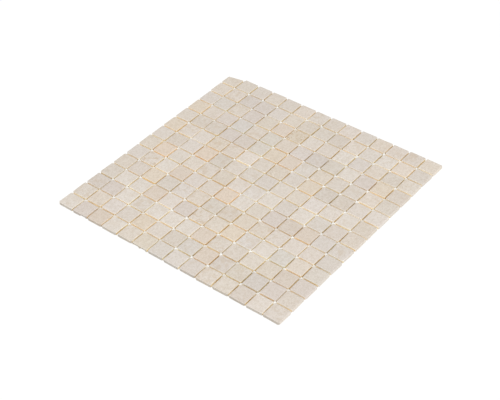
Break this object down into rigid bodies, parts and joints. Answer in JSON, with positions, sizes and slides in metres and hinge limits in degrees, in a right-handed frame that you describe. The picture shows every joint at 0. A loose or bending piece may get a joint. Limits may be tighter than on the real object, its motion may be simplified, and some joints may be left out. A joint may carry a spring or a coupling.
{
  "type": "mosaic tile sheet",
  "caption": "Square sheet of small cream marble chips with open joints, held in rows by a glass-fibre mesh glued to their backs.",
  "frame": {"origin": "under the middle of the sheet, on the plane that the backing mesh rests on", "axes": "+Z out of the chips' polished faces, +X along the rows of chips, +Y from the first row to the last"},
  "size_m": [0.3041, 0.3042, 0.004],
  "materials": {
    "marble": "honed cream marble with faint clouds and veins",
    "backing_mesh": "glass-fibre yarn in dried white glue"
  },
  "bodies": {
    "root": {"tile_row_01": "marble", "tile_row_02": "marble", "tile_row_03": "marble", "tile_row_04": "marble", "tile_row_05": "marble", "tile_row_06": "marble", "tile_row_07": "marble", "tile_row_08": "marble", "tile_row_09": "marble", "tile_row_10": "marble", "tile_row_11": "marble", "tile_row_12": "marble", "tile_row_13": "marble", "tile_row_14": "marble", "mesh_strands_lengthwise": "backing_mesh", "mesh_strands_crosswise": "backing_mesh"}
  },
  "joints": []
}
